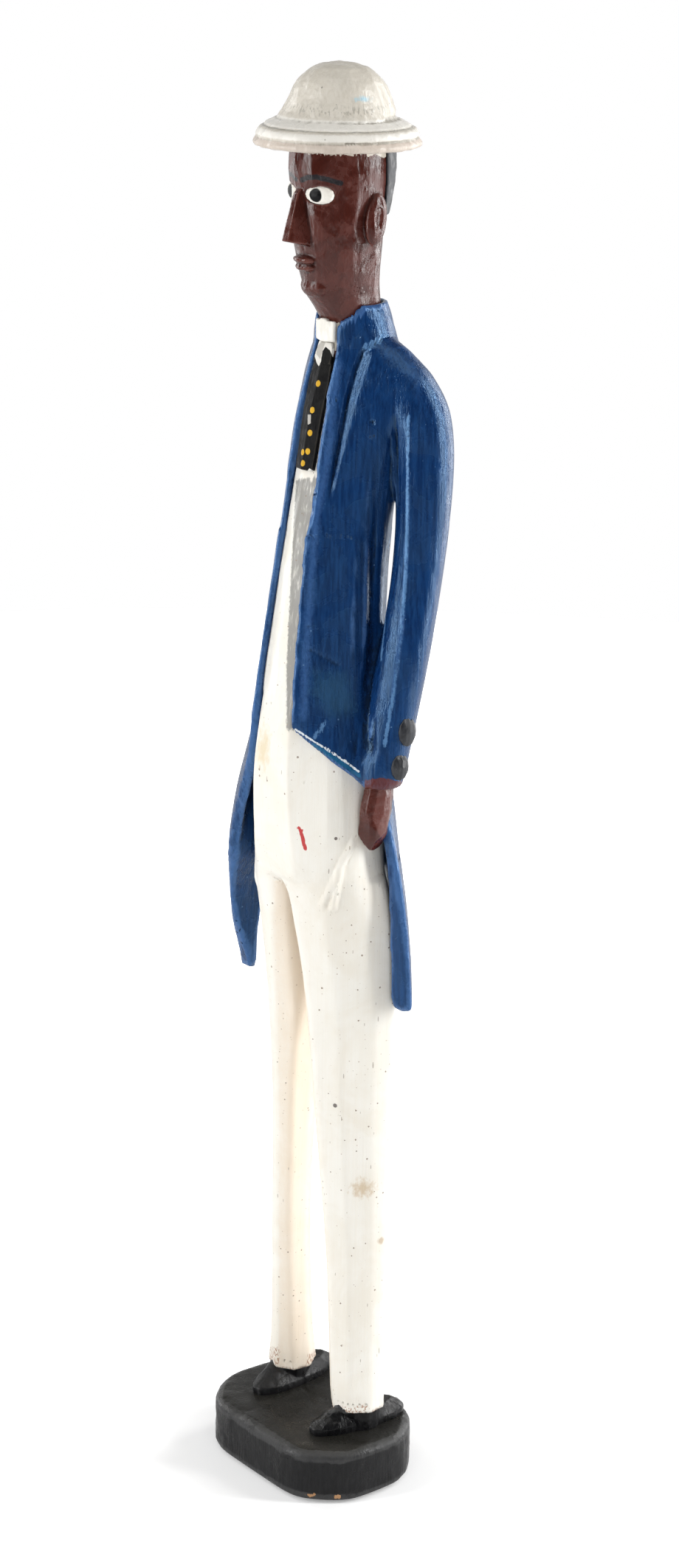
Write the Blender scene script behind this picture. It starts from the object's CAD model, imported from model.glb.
"""The painted wooden colon figure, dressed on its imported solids.

Each group of pieces has its own operator, and so has the stage. The sizes and
colours that a user would change are properties of the scene.
"""

import math

import bpy
import numpy as np
from mathutils import Matrix, Vector
from mathutils.bvhtree import BVHTree


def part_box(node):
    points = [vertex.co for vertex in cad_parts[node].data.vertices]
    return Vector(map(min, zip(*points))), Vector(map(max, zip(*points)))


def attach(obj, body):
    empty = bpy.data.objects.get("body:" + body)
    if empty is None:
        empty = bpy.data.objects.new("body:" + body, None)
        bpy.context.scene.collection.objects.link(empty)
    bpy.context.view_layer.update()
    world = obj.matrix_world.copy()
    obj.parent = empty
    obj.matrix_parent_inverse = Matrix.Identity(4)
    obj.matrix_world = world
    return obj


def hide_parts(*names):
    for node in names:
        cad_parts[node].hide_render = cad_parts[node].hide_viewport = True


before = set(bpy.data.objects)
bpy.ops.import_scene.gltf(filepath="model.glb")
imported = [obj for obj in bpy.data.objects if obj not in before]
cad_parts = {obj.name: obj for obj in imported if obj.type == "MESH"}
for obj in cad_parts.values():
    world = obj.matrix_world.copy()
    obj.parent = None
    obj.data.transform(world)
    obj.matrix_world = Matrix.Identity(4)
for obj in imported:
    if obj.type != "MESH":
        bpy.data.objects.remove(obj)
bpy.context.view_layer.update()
MM = 0.001
OUTSIDE = 0.2
FILM = 36.0

bl_info = {
    "name": "Painted colon figure",
    "version": (1, 0, 0),
    "blender": (4, 5, 0),
    "location": "3D View > Sidebar > Figure",
    "description": "Carves and paints a tall wooden colon figure in a sun helmet and long blue coat",
    "category": "Add Mesh",
}


# Sizes and colours that a user would change

def length_of(name, description, default):
    return bpy.props.FloatProperty(
        name=name, description=description, default=default, min=0.0, unit="LENGTH", precision=5
    )


def colour_of(name, description, default):
    return bpy.props.FloatVectorProperty(
        name=name, description=description, default=default, size=3, min=0.0, max=1.0, subtype="COLOR"
    )


def power_of(name, default, description="Power in watts"):
    return bpy.props.FloatProperty(name=name, description=description, default=default, min=0.0)


class FigureCarving(bpy.types.PropertyGroup):
    gouge_width: length_of("Gouge width", "Width of the cut beside each lapel", 2.8 * MM)
    gouge_depth: length_of("Gouge depth", "Depth of the cut beside each lapel", 1.5 * MM)
    pocket_ridge: length_of("Pocket ridge", "Height of the ridge over a trouser pocket", 1.0 * MM)
    tool_marks: length_of("Tool marks", "How far the knife left the surface uneven", 0.45 * MM)
    dot_radius: length_of("Tie dot", "Radius of a dot on the tie", 1.25 * MM)
    iris_radius: length_of("Iris", "Radius of the black round on each eye", 2.9 * MM)


class FigurePaints(bpy.types.PropertyGroup):
    coat: colour_of("Coat", "Main blue of the coat", (0.0015, 0.016, 0.074))
    coat_dark: colour_of("Coat, thick", "Blue where the paint lies thick", (0.0015, 0.011, 0.045))
    coat_light: colour_of("Coat, rubbed", "Blue where the paint is rubbed", (0.014, 0.075, 0.235))
    whites: colour_of("Whites", "White of shirt and trousers", (0.82, 0.80, 0.74))
    whites_old: colour_of("Whites, aged", "White where it has yellowed", (0.70, 0.60, 0.45))
    helmet: colour_of("Helmet", "White of the helmet", (0.57, 0.53, 0.455))
    skin: colour_of("Skin", "Red-brown of head and hands", (0.050, 0.0095, 0.006))
    skin_light: colour_of("Skin, rubbed", "Red-brown where it is rubbed", (0.150, 0.045, 0.034))
    blacks: colour_of("Blacks", "Black of plinth, shoes and tie", (0.003, 0.003, 0.0035))
    charcoal: colour_of("Charcoal", "Grey-black of hair and buttons", (0.014, 0.015, 0.018))
    dots: colour_of("Tie dots", "Yellow of the dots", (0.62, 0.36, 0.03))
    wood: colour_of("Bare wood", "Wood where the paint has chipped off", (0.42, 0.23, 0.11))


class FigureStage(bpy.types.PropertyGroup):
    azimuth: bpy.props.FloatProperty(
        name="Azimuth", description="Camera's turn from the figure's front towards its left side",
        default=math.radians(51.7), subtype="ANGLE",
    )
    pitch: bpy.props.FloatProperty(
        name="Pitch", description="How far the camera looks down",
        default=math.radians(17.42), subtype="ANGLE",
    )
    roll: bpy.props.FloatProperty(
        name="Roll", description="Camera's turn about its own line of sight",
        default=math.radians(0.83), subtype="ANGLE",
    )
    distance: length_of("Distance", "Camera's distance from the figure's axis over the floor", 1.2716)
    height: length_of("Height", "Camera's height over the floor", 0.7076)
    focal: bpy.props.FloatProperty(
        name="Focal share", description="Focal length as a share of the picture's height", default=4385 / 2126
    )
    shift: bpy.props.FloatProperty(
        name="Shift", description="Picture's shift sideways as a share of its height", default=24.6 / 2126
    )
    key: power_of("Key light", 19.0)
    fill: power_of("Fill light", 25.0)
    top: power_of("Top light", 11.0)
    front: power_of("Front light", 17.0)
    back: power_of("Back light", 9.0)
    rim: power_of("Rim lights", 13.0)
    glow: power_of("Floor glow", 1.0, "White added to the floor")
    room: power_of("Room light", 0.06, "Light from the room itself")


def carving():
    return bpy.context.scene.figure_carving


def paints():
    return bpy.context.scene.figure_paints


def setting():
    return bpy.context.scene.figure_stage


# Picking and finding places

PICTURE = (920.0, 2126.0)


def share_of(value, full=1.0):
    """The value as a share of full, kept between 0 and 1."""
    return np.clip(value / full, 0, 1)


def pick(*chosen):
    """Deselects everything, then selects these objects, the first of them active."""
    if bpy.context.object and bpy.context.object.mode != "OBJECT":
        bpy.ops.object.mode_set(mode="OBJECT")
    bpy.ops.object.select_all(action="DESELECT")
    for piece in chosen:
        piece.select_set(True)
    bpy.context.view_layer.objects.active = chosen[0]


def camera_axes():
    """Where the camera stands, and its forward, right and up directions."""
    s = setting()
    place = Vector((math.sin(s.azimuth) * s.distance, -math.cos(s.azimuth) * s.distance, s.height))
    level = Vector((-math.sin(s.azimuth), math.cos(s.azimuth), 0.0))
    forward = level * math.cos(s.pitch) - Vector((0, 0, 1)) * math.sin(s.pitch)
    side = Vector((math.cos(s.azimuth), math.sin(s.azimuth), 0.0))
    above = side.cross(forward)
    right = side * math.cos(s.roll) + above * math.sin(s.roll)
    up = above * math.cos(s.roll) - side * math.sin(s.roll)
    return place, forward, right, up


def tree_of(piece):
    return BVHTree.FromPolygons(
        [v.co.copy() for v in piece.data.vertices], [tuple(p.vertices) for p in piece.data.polygons]
    )


def seen_at(tree, u, v):
    """The point of a piece that the photograph shows at this place of its picture."""
    place, forward, right, up = camera_axes()
    s = setting()
    focal = s.focal * PICTURE[1]
    ray = forward * focal
    ray += right * (u - PICTURE[0] / 2 + s.shift * PICTURE[1])
    ray -= up * (v - PICTURE[1] / 2)
    hit = tree.ray_cast(place, ray.normalized())[0]
    if hit is None:
        raise RuntimeError(f"nothing of this piece lies at {u}, {v} of the picture")
    return hit


def seen_places(points):
    """Where the photograph's picture shows each point."""
    place, forward, right, up = (np.array(tuple(v)) for v in camera_axes())
    s = setting()
    away = points - place
    scale = s.focal * PICTURE[1] / (away @ forward)
    u = PICTURE[0] / 2 - s.shift * PICTURE[1] + scale * (away @ right)
    return u, PICTURE[1] / 2 - scale * (away @ up)


def patch_seen(piece, outline, fade=2.0):
    """1 where a piece's skin lies inside this outline of the picture, 0 outside and where it faces away.

    It doesn't see what stands in front, so a mark on one form is kept off the forms behind it by its caller.
    """
    points = places(piece.data)
    u, v = seen_places(points)
    inside = np.zeros(len(points), bool)
    nearest = np.full(len(points), 1e9)
    for (u0, v0), (u1, v1) in zip(outline, outline[1:] + outline[:1]):
        if v0 != v1:
            inside ^= ((v0 > v) != (v1 > v)) & (u < u0 + (u1 - u0) * (v - v0) / (v1 - v0))
        length = (u1 - u0) ** 2 + (v1 - v0) ** 2
        t = share_of((u - u0) * (u1 - u0) + (v - v0) * (v1 - v0), length)
        nearest = np.minimum(nearest, np.hypot(u - u0 - t * (u1 - u0), v - v0 - t * (v1 - v0)))
    place = np.array(tuple(camera_axes()[0]))
    turned = ((place - points) * facings(piece.data)).sum(axis=1) > 0
    return share_of(np.where(inside, nearest, -nearest) / fade + 0.5) * turned


def patches_seen(piece, outlines, fade=2.0):
    return np.max([patch_seen(piece, outline, fade) for outline in outlines], axis=0)


def line_seen(tree, *spots):
    return [seen_at(tree, u, v) for u, v in spots]


def mirrored(tree, line):
    """The same line on the figure's other side, laid on the surface there."""
    return [tree.find_nearest(Vector((-p.x, p.y, p.z)))[0] for p in line]


def places(mesh):
    out = np.empty(len(mesh.vertices) * 3)
    mesh.vertices.foreach_get("co", out)
    return out.reshape(-1, 3)


def facings(mesh):
    out = np.empty(len(mesh.vertices) * 3)
    mesh.vertex_normals.foreach_get("vector", out)
    return out.reshape(-1, 3)


def upright_share(piece):
    """1 where a piece's skin stands upright, 0 where it lies level."""
    return share_of(1.6 - 2.2 * abs(facings(piece.data)[:, 2]))


def put_places(mesh, where):
    mesh.vertices.foreach_set("co", np.ascontiguousarray(where, dtype=np.float32).ravel())
    mesh.update()


def from_line(points, line):
    """For each point: its distance from the line, the share along it, and the offset from it."""
    line = np.array([tuple(p) for p in line])
    steps = np.linalg.norm(np.diff(line, axis=0), axis=1)
    run = np.concatenate([[0.0], np.cumsum(steps)]) / max(steps.sum(), 1e-9)
    best = np.full(len(points), 1e9)
    share = np.zeros(len(points))
    offset = np.zeros((len(points), 3))
    for i in range(len(line) - 1):
        along = line[i + 1] - line[i]
        t = share_of((points - line[i]) @ along, along @ along)
        apart = points - line[i] - t[:, None] * along
        far = np.linalg.norm(apart, axis=1)
        nearer = far < best
        best[nearer] = far[nearer]
        share[nearer] = (run[i] + t * (run[i + 1] - run[i]))[nearer]
        offset[nearer] = apart[nearer]
    return best, share, offset


# Carving

def rough_out(name, nodes, grow=0.2 * MM):
    """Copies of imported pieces, merged, grown a little to meet and joined into one object."""
    copies = []
    for node in nodes:
        copy = bpy.data.objects.new(name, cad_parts[node].data.copy())
        copy.data.materials.clear()
        bpy.context.scene.collection.objects.link(copy)
        pick(copy)
        bpy.ops.object.mode_set(mode="EDIT")
        bpy.ops.mesh.select_all(action="SELECT")
        bpy.ops.mesh.remove_doubles(threshold=0.001 * MM)
        bpy.ops.transform.shrink_fatten(value=grow)
        bpy.ops.object.mode_set(mode="OBJECT")
        copies.append(copy)
    pick(*copies)
    if len(copies) > 1:
        bpy.ops.object.join()
    piece = bpy.context.object
    piece.name = name
    return piece


def apply(piece, kind, **settings):
    pick(piece)
    made = piece.modifiers.new("step", kind)
    for key, value in settings.items():
        setattr(made, key, value)
    bpy.ops.object.modifier_apply(modifier=made.name)


def close_skin(piece, grain, rounds):
    """One closed skin over the whole block, softened as carved and painted wood is."""
    pick(piece)
    bpy.ops.object.duplicate()
    block = bpy.context.object
    apply(piece, "REMESH", mode="VOXEL", voxel_size=grain)
    apply(piece, "SHRINKWRAP", target=block, wrap_method="NEAREST_SURFACEPOINT")
    apply(piece, "SMOOTH", factor=0.5, iterations=rounds)
    bpy.data.objects.remove(block)


def ends_of(mesh):
    """The vertices at the two ends of every edge."""
    ends = np.empty(len(mesh.edges) * 2, dtype=np.int64)
    mesh.edges.foreach_get("vertices", ends)
    return ends.reshape(-1, 2).T


def even_out(piece, share, rounds, grain=0.0, swell=0.0):
    """Softens the skin by its share: from all round, with grain 1 along the grain, with -1 across it."""
    mesh = piece.data
    points = places(mesh)
    count = len(points)
    a, b = ends_of(mesh)
    used = (share[a] > 0) | (share[b] > 0)
    a, b = a[used], b[used]
    along = points[b] - points[a]
    upright = along[:, 2] ** 2 / np.maximum((along**2).sum(axis=1), 1e-16)
    weight = 1 - abs(grain) + abs(grain) * (upright if grain > 0 else 1 - upright) ** 2
    total = np.bincount(a, weight, count) + np.bincount(b, weight, count)
    moving = np.where(total > 1e-6, share * 0.6, 0)
    total = np.maximum(total, 1e-6)
    for _ in range(rounds):
        for k in range(3):
            sums = np.bincount(a, weight * points[b, k], count)
            sums += np.bincount(b, weight * points[a, k], count)
            points[:, k] += moving * (sums / total - points[:, k])
    put_places(mesh, points)
    if swell:
        put_places(mesh, points + facings(mesh) * (swell * share)[:, None])


def centre_line(node, steps=8, band=9 * MM):
    """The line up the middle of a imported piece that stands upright."""
    corners = places(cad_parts[node].data)
    low, high = corners[:, 2].min(), corners[:, 2].max()
    line = []
    for i in range(steps + 1):
        z = low + (high - low) * i / steps
        near = corners[abs(corners[:, 2] - z) < band]
        x, y = (near[:, :2].min(axis=0) + near[:, :2].max(axis=0)) / 2
        line.append(Vector((x, y, z)))
    return line


def slice_off(piece, facing, depth):
    """A flat facet, as left by one stroke of the knife, this deep in the side that faces this way."""
    points = places(piece.data)
    facing = np.array(facing) / np.linalg.norm(facing)
    height = points @ facing
    over = np.maximum(height - (height.max() - depth), 0)
    put_places(piece.data, points - over[:, None] * facing)


def knife_marks(piece, depth, across=7 * MM, along=26 * MM, seed=0.0):
    """Low flats and hollows left by the knife, longer along the grain."""
    texture = bpy.data.textures.new("knife marks", "CLOUDS")
    texture.noise_scale = 1.0
    texture.noise_depth = 2
    grain = bpy.data.objects.new("grain", None)
    grain.scale = (across, across, along)
    grain.location = (seed, seed * 0.7, seed * 0.3)
    bpy.context.scene.collection.objects.link(grain)
    bpy.context.view_layer.update()
    apply(
        piece, "DISPLACE", texture=texture, texture_coords="OBJECT", texture_coords_object=grain,
        strength=depth, mid_level=0.5,
    )
    bpy.data.objects.remove(grain)
    bpy.data.textures.remove(texture)


def thin_out(piece, most):
    """Fewer triangles where the surface is even."""
    piece.data.calc_loop_triangles()
    count = len(piece.data.loop_triangles)
    if count > most:
        apply(piece, "DECIMATE", ratio=most / count)


def refine_near(piece, lines, reach):
    """Smaller faces near the lines that are cut next."""
    pick(piece)
    mesh = piece.data
    points = places(mesh)
    near = np.zeros(len(points), bool)
    for line in lines:
        near |= from_line(points, line)[0] < reach
    mesh.vertices.foreach_set("select", near)
    bpy.ops.object.mode_set(mode="EDIT")
    bpy.ops.mesh.select_mode(type="VERT")
    bpy.ops.object.mode_set(mode="OBJECT")
    mesh.vertices.foreach_set("select", near)
    bpy.ops.object.mode_set(mode="EDIT")
    bpy.ops.mesh.select_mode(type="FACE")
    bpy.ops.mesh.subdivide(number_cuts=1)
    bpy.ops.mesh.select_mode(type="VERT")
    bpy.ops.object.mode_set(mode="OBJECT")


def cut_line(piece, line, width, depth, wide=None, side=(1, 0, 0), taper=(0.12, 0.12), soft=False):
    """A V-shaped or soft cut along the line, or a ridge where the depth is below 0. One side may be wider."""
    mesh = piece.data
    points = places(mesh)
    normals = facings(mesh)
    far, share, offset = from_line(points, line)
    ends = share_of(share, taper[0]) * share_of(1 - share, taper[1])
    out = normals @ normals[int(np.argmin(far))] > 0.0
    reach = np.full(len(points), width / 2)
    if wide:
        reach = np.where(offset @ np.array(side) > 0, wide[0] + (wide[1] - wide[0]) * share, reach)
    form = share_of(1 - far / reach)
    if soft:
        form = form * form * (3 - 2 * form)
    put_places(mesh, points - normals * (depth * form * ends * out)[:, None])


def cut_lines(piece, lines, *form, **ways):
    for line in lines:
        cut_line(piece, line, *form, **ways)


def dent(piece, spot, radius, depth):
    mesh = piece.data
    points = places(mesh)
    normals = facings(mesh)
    far = np.linalg.norm(points - np.array(tuple(spot)), axis=1)
    put_places(mesh, points - normals * (depth * share_of(1 - (far / radius) ** 2))[:, None])


# Marks that the paints follow

def mark(piece, name, values):
    found = piece.data.attributes.get(name) or piece.data.attributes.new(name, "FLOAT", "POINT")
    found.data.foreach_set("value", np.ascontiguousarray(values, dtype=np.float32))


def mark_edges(piece, rounds=8, full=0.35 * MM):
    """Marks where an edge stands proud and where a crease lies deep."""
    mesh = piece.data
    count = len(mesh.vertices)
    points = places(mesh)
    a, b = ends_of(mesh)
    degree = np.maximum(np.bincount(a, minlength=count) + np.bincount(b, minlength=count), 1)
    soft = points.copy()
    for _ in range(rounds):
        soft = np.stack(
            [
                (np.bincount(a, soft[b, k], count) + np.bincount(b, soft[a, k], count)) / degree
                for k in range(3)
            ],
            axis=1,
        )
    proud = ((points - soft) * facings(mesh)).sum(axis=1) / full
    mark(piece, "ridge", share_of(proud))
    mark(piece, "hollow", share_of(-proud))


def mark_lines(piece, name, lines, width, fade=0.4 * MM):
    points = places(piece.data)
    value = np.zeros(len(points))
    for line in lines:
        far = from_line(points, line)[0]
        value = np.maximum(value, share_of((width / 2 - far) / fade + 0.5))
    mark(piece, name, value)


# Node trees

def add(tree, kind, inputs=None, **settings):
    made = tree.nodes.new(kind)
    for key, value in settings.items():
        setattr(made, key, value)
    for key, value in (inputs or {}).items():
        socket = made.inputs[key]
        if isinstance(value, bpy.types.NodeSocket):
            tree.links.new(value, socket)
        else:
            socket.default_value = value
    return made


def maths(tree, operation, a, b=0.0, clamp=False):
    return add(tree, "ShaderNodeMath", {0: a, 1: b}, operation=operation, use_clamp=clamp).outputs[0]


def marked_value(tree, name):
    return add(tree, "ShaderNodeAttribute", attribute_name=name).outputs["Fac"]


def length_along(tree, vector):
    return add(tree, "ShaderNodeVectorMath", {0: vector}, operation="LENGTH").outputs["Value"]


def vector_maths(tree, operation, a, b):
    return add(tree, "ShaderNodeVectorMath", {0: a, 1: b}, operation=operation).outputs[0]


def ramp(tree, value, low, high, to_low=0.0, to_high=1.0):
    inputs = {"Value": value, "From Min": low, "From Max": high, "To Min": to_low, "To Max": to_high}
    return add(tree, "ShaderNodeMapRange", inputs, interpolation_type="SMOOTHSTEP").outputs["Result"]


def blend(tree, share, first, second):
    """The first colour where share is 0 and the second where it is 1."""
    made = tree.nodes.new("ShaderNodeMix")
    made.data_type = "RGBA"
    for socket, value in ((made.inputs[0], share), (made.inputs[6], first), (made.inputs[7], second)):
        if isinstance(value, bpy.types.NodeSocket):
            tree.links.new(value, socket)
        elif socket.type == "RGBA":
            socket.default_value = (*value[:3], 1.0)
        else:
            socket.default_value = value
    return made.outputs[2]


def stretched(tree, vector, size, offset=(0.0, 0.0, 0.0)):
    """Coordinates in which one unit is this size in metres."""
    scale = tuple(1 / s for s in size)
    return add(
        tree, "ShaderNodeMapping", {"Vector": vector, "Scale": scale, "Location": offset}
    ).outputs["Vector"]


def noise(tree, vector, detail=3.0, roughness=0.55, distortion=0.0):
    inputs = {
        "Vector": vector, "Scale": 1.0, "Detail": detail, "Roughness": roughness, "Distortion": distortion,
    }
    return add(tree, "ShaderNodeTexNoise", inputs).outputs["Fac"]


def new_group(name, inputs, outputs):
    """A named group with its sockets, its input node and its output node."""
    tree = bpy.data.node_groups.new(name, "ShaderNodeTree")
    for label, kind, default in inputs:
        socket = tree.interface.new_socket(name=label, in_out="INPUT", socket_type=kind)
        socket.default_value = default
    for label, kind in outputs:
        tree.interface.new_socket(name=label, in_out="OUTPUT", socket_type=kind)
    return tree, tree.nodes.new("NodeGroupInput"), tree.nodes.new("NodeGroupOutput")


FLOAT = "NodeSocketFloat"
VECTOR = "NodeSocketVector"


def brush_group():
    """Streaks of the brush, patches of thick and thin paint, and their height."""
    name = "Brushed paint"
    if name in bpy.data.node_groups:
        return bpy.data.node_groups[name]
    tree, given, out = new_group(
        name,
        [("Vector", VECTOR, (0, 0, 0)), ("Streak Length", FLOAT, 0.02), ("Patch Size", FLOAT, 0.02)],
        [("Streaks", FLOAT), ("Patches", FLOAT), ("Height", FLOAT)],
    )
    place = given.outputs["Vector"]
    bristle = {"X": 0.0011, "Y": 0.0011, "Z": given.outputs["Streak Length"]}
    across = add(tree, "ShaderNodeCombineXYZ", bristle)
    fine = vector_maths(tree, "DIVIDE", place, across.outputs[0])
    streaks = noise(tree, fine, 4.0, 0.6, 0.3)
    coarse = vector_maths(tree, "DIVIDE", place, given.outputs["Patch Size"])
    patches = noise(tree, coarse, 4.0, 0.62, 0.6)
    tree.links.new(ramp(tree, streaks, 0.3, 0.7), out.inputs["Streaks"])
    tree.links.new(ramp(tree, patches, 0.36, 0.64), out.inputs["Patches"])
    grit = noise(tree, stretched(tree, place, (0.0006, 0.0006, 0.0012)), 2.0)
    height = maths(tree, "ADD", maths(tree, "MULTIPLY", streaks, 0.7), maths(tree, "MULTIPLY", grit, 0.3))
    tree.links.new(height, out.inputs["Height"])
    return tree


def wear_group():
    """Where the edges are rubbed and where grime lies in the creases."""
    name = "Wear and grime"
    if name in bpy.data.node_groups:
        return bpy.data.node_groups[name]
    tree, given, out = new_group(
        name,
        [("Vector", VECTOR, (0, 0, 0)), ("Rub", FLOAT, 0.5), ("Grime", FLOAT, 0.5)],
        [("Rubbed", FLOAT), ("Chipped", FLOAT), ("Grimy", FLOAT)],
    )
    place = given.outputs["Vector"]
    proud = marked_value(tree, "ridge")
    deep = marked_value(tree, "hollow")
    ragged = noise(tree, stretched(tree, place, (0.0022, 0.0022, 0.004)), 5.0, 0.7)
    broad = noise(tree, stretched(tree, place, (0.012, 0.012, 0.03)), 2.0)
    rubbed = maths(tree, "MULTIPLY", proud, maths(tree, "ADD", ragged, broad))
    shown = maths(tree, "MULTIPLY", ramp(tree, rubbed, 0.45, 1.1), given.outputs["Rub"], True)
    tree.links.new(shown, out.inputs["Rubbed"])
    chipped = maths(tree, "MULTIPLY", rubbed, given.outputs["Rub"])
    tree.links.new(ramp(tree, chipped, 0.62, 0.68), out.inputs["Chipped"])
    grimy = maths(tree, "MULTIPLY", ramp(tree, deep, 0.1, 0.8), ramp(tree, ragged, 0.25, 0.6))
    tree.links.new(maths(tree, "MULTIPLY", grimy, given.outputs["Grime"], True), out.inputs["Grimy"])
    return tree


def speck_group():
    """Small scattered specks, as of spattered paint, worm holes or dirt."""
    name = "Specks"
    if name in bpy.data.node_groups:
        return bpy.data.node_groups[name]
    tree, given, out = new_group(
        name,
        [("Vector", VECTOR, (0, 0, 0)), ("Spacing", FLOAT, 0.006), ("Share", FLOAT, 0.3)],
        [("Specks", FLOAT)],
    )
    cells = vector_maths(tree, "DIVIDE", given.outputs["Vector"], given.outputs["Spacing"])
    cell = add(tree, "ShaderNodeTexVoronoi", {"Vector": cells, "Scale": 1.0, "Randomness": 1.0})
    channels = add(tree, "ShaderNodeSeparateColor", {0: cell.outputs["Color"]})
    chosen = maths(tree, "LESS_THAN", channels.outputs[0], given.outputs["Share"])
    size = maths(tree, "ADD", maths(tree, "MULTIPLY", channels.outputs[1], 0.1), 0.025)
    reach = maths(tree, "ADD", size, 0.04)
    ragged = maths(tree, "MULTIPLY", noise(tree, stretched(tree, cells, (0.12, 0.12, 0.2)), 3.0), 0.08)
    near = maths(tree, "LESS_THAN", maths(tree, "ADD", cell.outputs["Distance"], ragged), reach)
    tree.links.new(maths(tree, "MULTIPLY", near, chosen), out.inputs["Specks"])
    return tree


def stain_group():
    """One stain of ragged outline, at its own place."""
    name = "Stain"
    if name in bpy.data.node_groups:
        return bpy.data.node_groups[name]
    tree, given, out = new_group(
        name,
        [
            ("Vector", VECTOR, (0, 0, 0)),
            ("Place", VECTOR, (0, 0, 0)),
            ("Reach", VECTOR, (0.01, 0.01, 0.01)),
            ("Ragged", FLOAT, 0.5),
            ("Soft", FLOAT, 0.3),
        ],
        [("Mask", FLOAT)],
    )
    away = vector_maths(tree, "SUBTRACT", given.outputs["Vector"], given.outputs["Place"])
    scaled = vector_maths(tree, "DIVIDE", away, given.outputs["Reach"])
    far = length_along(tree, scaled)
    wobble = noise(tree, stretched(tree, given.outputs["Vector"], (0.0018, 0.0018, 0.003)), 4.0, 0.65)
    ragged = maths(tree, "MULTIPLY", given.outputs["Ragged"], 3.0)
    wobble = maths(tree, "MULTIPLY", maths(tree, "SUBTRACT", wobble, 0.5), ragged)
    edge = maths(tree, "ADD", far, wobble)
    low = maths(tree, "SUBTRACT", 1.0, given.outputs["Soft"])
    fade = {"Value": edge, "From Min": low, "From Max": 1.0, "To Min": 1.0, "To Max": 0.0}
    mask = add(tree, "ShaderNodeMapRange", fade)
    tree.links.new(mask.outputs["Result"], out.inputs["Mask"])
    return tree


class Paint:
    """A gloss paint over carved wood, built up in the order that it was laid on."""

    def __init__(self, name, shade, shine=0.4):
        self.material = bpy.data.materials.new(name)
        self.material.use_nodes = True
        self.material.diffuse_color = (*shade[:3], 1.0)
        self.tree = self.material.node_tree
        self.tree.nodes.clear()
        self.out = self.tree.nodes.new("ShaderNodeOutputMaterial")
        self.shader = self.tree.nodes.new("ShaderNodeBsdfPrincipled")
        self.shader.inputs["Specular IOR Level"].default_value = shine
        self.tree.links.new(self.shader.outputs[0], self.out.inputs["Surface"])
        self.place = self.tree.nodes.new("ShaderNodeTexCoord").outputs["Object"]
        self.colour = tuple(shade)
        self.brush = None

    def use(self, group, inputs, size=None):
        made = self.tree.nodes.new("ShaderNodeGroup")
        made.node_tree = group
        place = stretched(self.tree, self.place, size) if size else self.place
        self.tree.links.new(place, made.inputs["Vector"])
        for key, value in inputs.items():
            made.inputs[key].default_value = value
        return made.outputs

    def brushed(self, streak, patch, rub, grime):
        """The brush's marks, and the wear on edges and in creases."""
        self.brush = self.use(brush_group(), {"Streak Length": streak, "Patch Size": patch})
        return self.brush, self.use(wear_group(), {"Rub": rub, "Grime": grime})

    def speckle(self, spacing, share, colour, strength, size=None):
        specks = self.use(speck_group(), {"Spacing": spacing, "Share": share}, size)
        self.over(specks["Specks"], colour, strength)

    def marked(self, name, low=0.3, high=0.7, ragged=0.0):
        found = marked_value(self.tree, name)
        if ragged:
            edge = self.grain((0.0012, 0.0012, 0.0016), 4.0, 0.7)
            shift = self.times(maths(self.tree, "SUBTRACT", edge, 0.5), ragged)
            found = maths(self.tree, "ADD", found, shift)
        return ramp(self.tree, found, low, high)

    def times(self, mask, other):
        return maths(self.tree, "MULTIPLY", mask, other)

    def grain(self, size, detail=3.0, roughness=0.55):
        """Noise whose lumps have about this size in metres."""
        return noise(self.tree, stretched(self.tree, self.place, size), detail, roughness)

    def over(self, mask, colour, strength=1.0):
        if strength != 1.0:
            mask = self.times(mask, strength)
        self.colour = blend(self.tree, mask, self.colour, colour)

    def stain(self, spot, reach, colour, strength=0.7, ragged=0.5, soft=0.5):
        mask = self.use(
            stain_group(), {"Place": tuple(spot), "Reach": tuple(reach), "Ragged": ragged, "Soft": soft}
        )["Mask"]
        self.over(mask, colour, strength)

    def carved(self, size, share):
        """Height of the knife's facets, of this size in metres, under the brush marks."""
        cells = stretched(self.tree, self.place, size)
        form = {"Vector": cells, "Scale": 1.0, "Smoothness": 0.35}
        facets = add(self.tree, "ShaderNodeTexVoronoi", form, feature="SMOOTH_F1")
        waves = noise(self.tree, cells, 2.0, 0.5, 0.4)
        low = maths(self.tree, "ADD", self.times(facets.outputs["Distance"], 0.5), waves)
        fine = self.times(self.brush["Height"], 1 - share)
        return maths(self.tree, "ADD", self.times(low, share), fine)

    def finish(self, rough, depth, strength, facets=None, share=0.5):
        """Joins the layers up. Rough says how dull the thin and the thick paint are."""
        if isinstance(self.colour, tuple):
            raise RuntimeError("a paint of one flat colour is not finished")
        height = self.carved(facets, share) if facets else self.brush["Height"]
        links = self.tree.links
        links.new(self.colour, self.shader.inputs["Base Color"])
        dull = ramp(self.tree, self.brush["Patches"], 0.0, 1.0, *rough)
        links.new(dull, self.shader.inputs["Roughness"])
        bump = add(self.tree, "ShaderNodeBump", {"Strength": strength, "Distance": depth, "Height": height})
        links.new(bump.outputs["Normal"], self.shader.inputs["Normal"])
        return self.material


def settle(piece, paint_material, nodes):
    """Gives a finished piece its paint and its body, and lets it stand for its solids."""
    piece.data.materials.clear()
    piece.data.materials.append(paint_material)
    pick(piece)
    bpy.ops.object.shade_smooth()
    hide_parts(*nodes)
    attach(piece, "root")


# Coat

SLEEVE_REACH = 13.4 * MM
COAT_NODES = (
    "coat_back", "left_coat_front", "right_coat_front", "left_coat_tail", "right_coat_tail",
    "coat_collar", "left_lapel", "right_lapel", "left_sleeve", "right_sleeve",
)


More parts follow.
